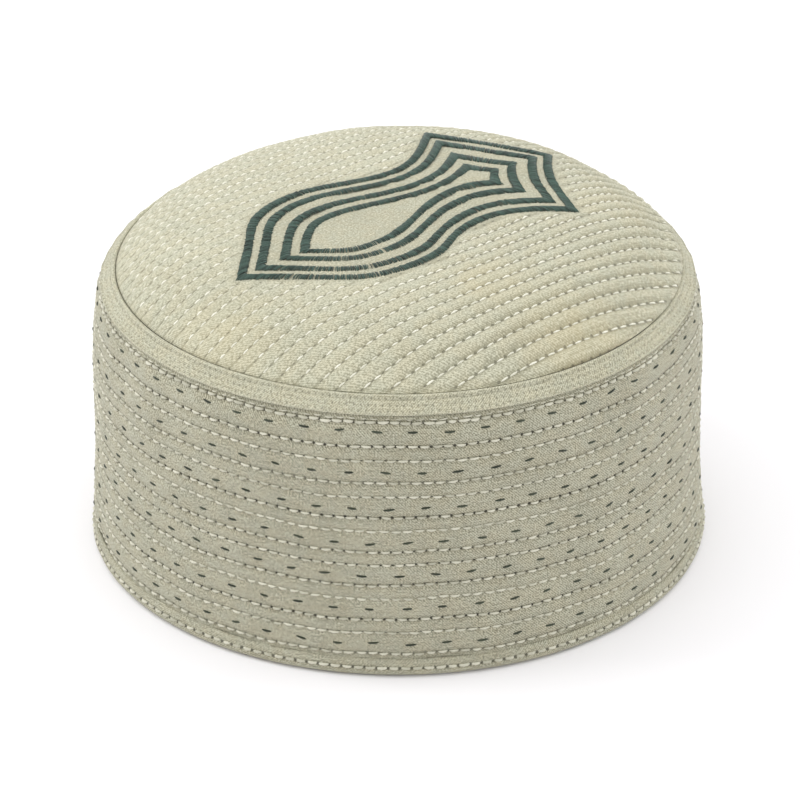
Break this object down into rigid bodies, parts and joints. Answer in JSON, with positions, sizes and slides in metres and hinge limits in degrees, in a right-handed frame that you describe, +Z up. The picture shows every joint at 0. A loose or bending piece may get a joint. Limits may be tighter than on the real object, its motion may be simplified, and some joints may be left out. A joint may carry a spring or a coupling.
{
  "type": "kufi",
  "caption": "Quilted cloth cap with an upright side band, a low domed crown, a raised strip over the seam, a folded hem and a sandal-shaped embroidered emblem.",
  "frame": {"origin": "centre of the hem's flat underside, on the surface that the cap rests on", "axes": "+Z up through the crown; -Y towards the picture's camera; +X to its right; the emblem's heel points to front left"},
  "size_m": [0.19, 0.19, 0.1089],
  "materials": {
    "band_fabric": "khaki-beige twill cotton, quilted in horizontal channels",
    "trim_fabric": "the same cotton, folded and edge stitched",
    "crown_fabric": "lighter beige cotton, quilted in slanting channels",
    "embroidery_thread": "dark green satin-stitch thread, slightly glossy"
  },
  "bodies": {
    "root": {"side_band": "band_fabric", "hem_band": "trim_fabric", "crown_strip": "trim_fabric", "crown": "crown_fabric", "emblem_band_1": "embroidery_thread", "emblem_band_2": "embroidery_thread", "emblem_band_3": "embroidery_thread", "emblem_band_4": "embroidery_thread"}
  },
  "joints": []
}
